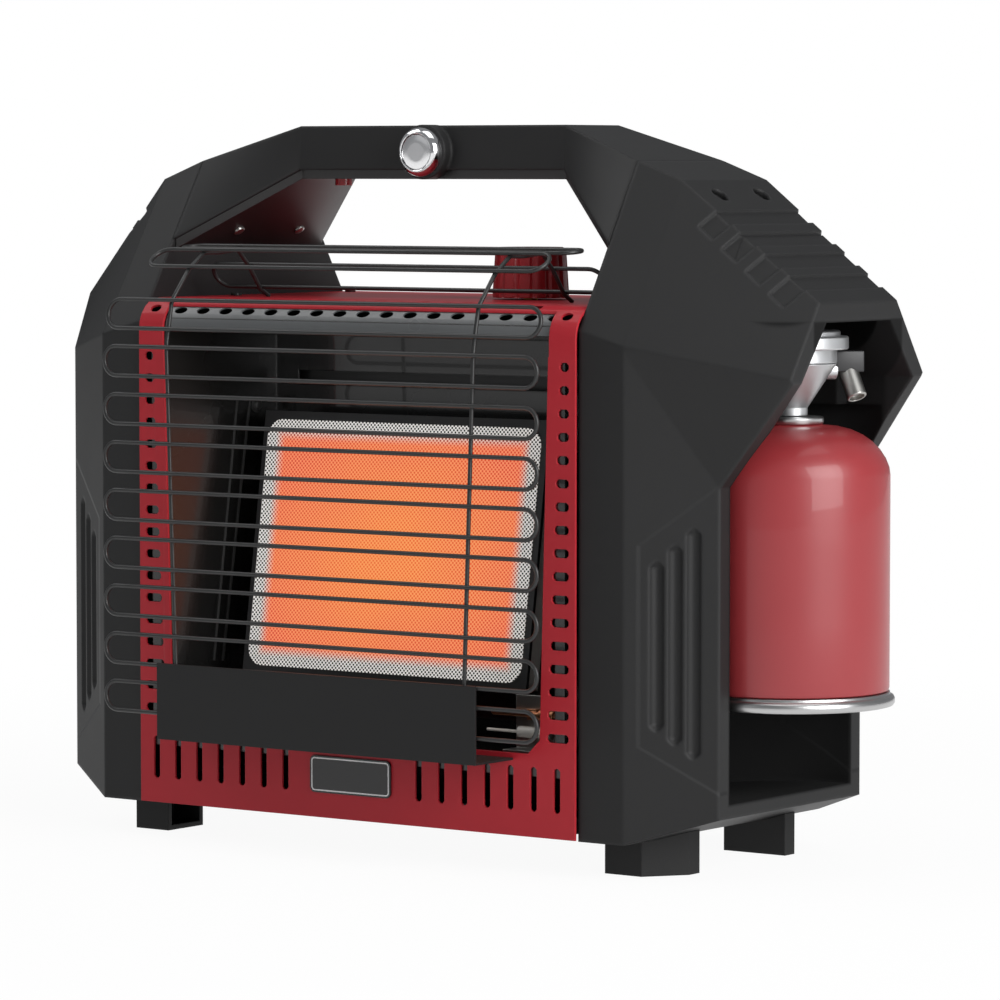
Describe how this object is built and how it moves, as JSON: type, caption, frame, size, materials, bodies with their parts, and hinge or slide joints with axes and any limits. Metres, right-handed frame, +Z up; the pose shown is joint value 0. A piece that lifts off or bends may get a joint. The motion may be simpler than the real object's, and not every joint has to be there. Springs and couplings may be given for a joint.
{
  "type": "portable propane heater",
  "caption": "Portable radiant gas heater with moulded side shells, carrying handle, wire guard, red steel front and a gas canister in a side bay.",
  "frame": {"origin": "on the floor under the middle of the whole object's box", "axes": "+Z up, -Y out of the front, +X towards the canister bay"},
  "size_m": [0.5144, 0.2372, 0.4126],
  "materials": {
    "badge_black": "gloss black with a white border line",
    "brass": "machined",
    "burner_glow": "perforated ceramic glowing orange",
    "can_red": "satin red lacquer",
    "can_silver": "tinplate",
    "cast_grey": "die cast, bead blasted",
    "chamber_black": "vitreous black enamel",
    "chrome": "polished",
    "copper_pipe": "drawn pipe",
    "foot_black": "matt black",
    "front_red": "satin red powder coat",
    "gasket_white": "soft white ceramic fibre",
    "insulator_white": "glazed white insulator",
    "knob_red": "moulded red",
    "liner_black": "smooth moulded black",
    "pin_red": "moulded red",
    "screen_steel": "perforated screen, pale heat-bleached",
    "screw_black": "black oxide",
    "shell_black": "fine textured moulded black",
    "spring_steel": "spring wire",
    "steel_black": "heat-proof matt black",
    "wire_black": "satin black coated wire",
    "zinc_steel": "zinc plated"
  },
  "bodies": {
    "housing": {"badge_plate": "badge_black", "burner_brackets": "steel_black", "burner_frame": "zinc_steel", "burner_gasket": "gasket_white", "burner_pipe": "copper_pipe", "burner_plenum": "zinc_steel", "burner_screen": "screen_steel", "burner_tile": "burner_glow", "deck_screws": "screw_black", "floor_pan": "steel_black", "foot_front_left": "foot_black", "foot_front_right": "foot_black", "foot_rear_left": "foot_black", "foot_rear_right": "foot_black", "front_panel": "front_red", "gas_valve": "brass", "guard_grille": "wire_black", "guard_plate": "steel_black", "handle_liner": "liner_black", "handle_lock_pin": "pin_red", "handle_screws": "screw_black", "handle_shell": "shell_black", "heat_shield": "zinc_steel", "igniter_bezel": "chrome", "igniter_spring": "spring_steel", "injector": "brass", "injector_bracket": "zinc_steel", "left_side_shell": "shell_black", "mixing_tube": "zinc_steel", "outlet_barrel": "zinc_steel", "outlet_block": "liner_black", "piezo_unit": "liner_black", "pilot_bracket": "zinc_steel", "rear_cover": "steel_black", "rear_screws": "screw_black", "reflector_chamber": "chamber_black", "regulator_adaptor": "cast_grey", "regulator_body": "cast_grey", "regulator_bracket": "zinc_steel", "regulator_cap": "cast_grey", "right_side_shell": "shell_black", "spark_electrode": "insulator_white", "supply_pipe": "copper_pipe", "thermocouple": "copper_pipe", "tip_switch_housing": "liner_black", "tube_collar": "zinc_steel"},
    "knob": {"control_knob": "knob_red", "valve_stem": "brass"},
    "button": {"igniter_button": "chrome"},
    "canister": {"canister_body": "can_red", "canister_rim": "can_silver", "canister_valve": "can_silver"},
    "pendulum": {"tip_pendulum": "zinc_steel"}
  },
  "joints": [
    {"name": "knob_turn", "type": "hinge", "parent": "housing", "child": "knob", "pos_m": [0.0214, 0.02107, 0.314], "axis": [0, 0, 1], "range_deg": [0, 150]},
    {"name": "button_push", "type": "slide", "parent": "housing", "child": "button", "axis": [0, 1, 0], "range_m": [0, 0.004], "stiffness_N_per_m": 900, "springref_m": -0.002, "deforming": ["igniter_spring"]},
    {"name": "canister_drop", "type": "slide", "parent": "housing", "child": "canister", "axis": [0, 0, -1], "range_m": [0, 0.045]},
    {"name": "pendulum_swing", "type": "hinge", "parent": "housing", "child": "pendulum", "pos_m": [-0.0986, 0.06408, 0.0615], "axis": [0, 1, 0], "range_deg": [-20, 20]}
  ]
}
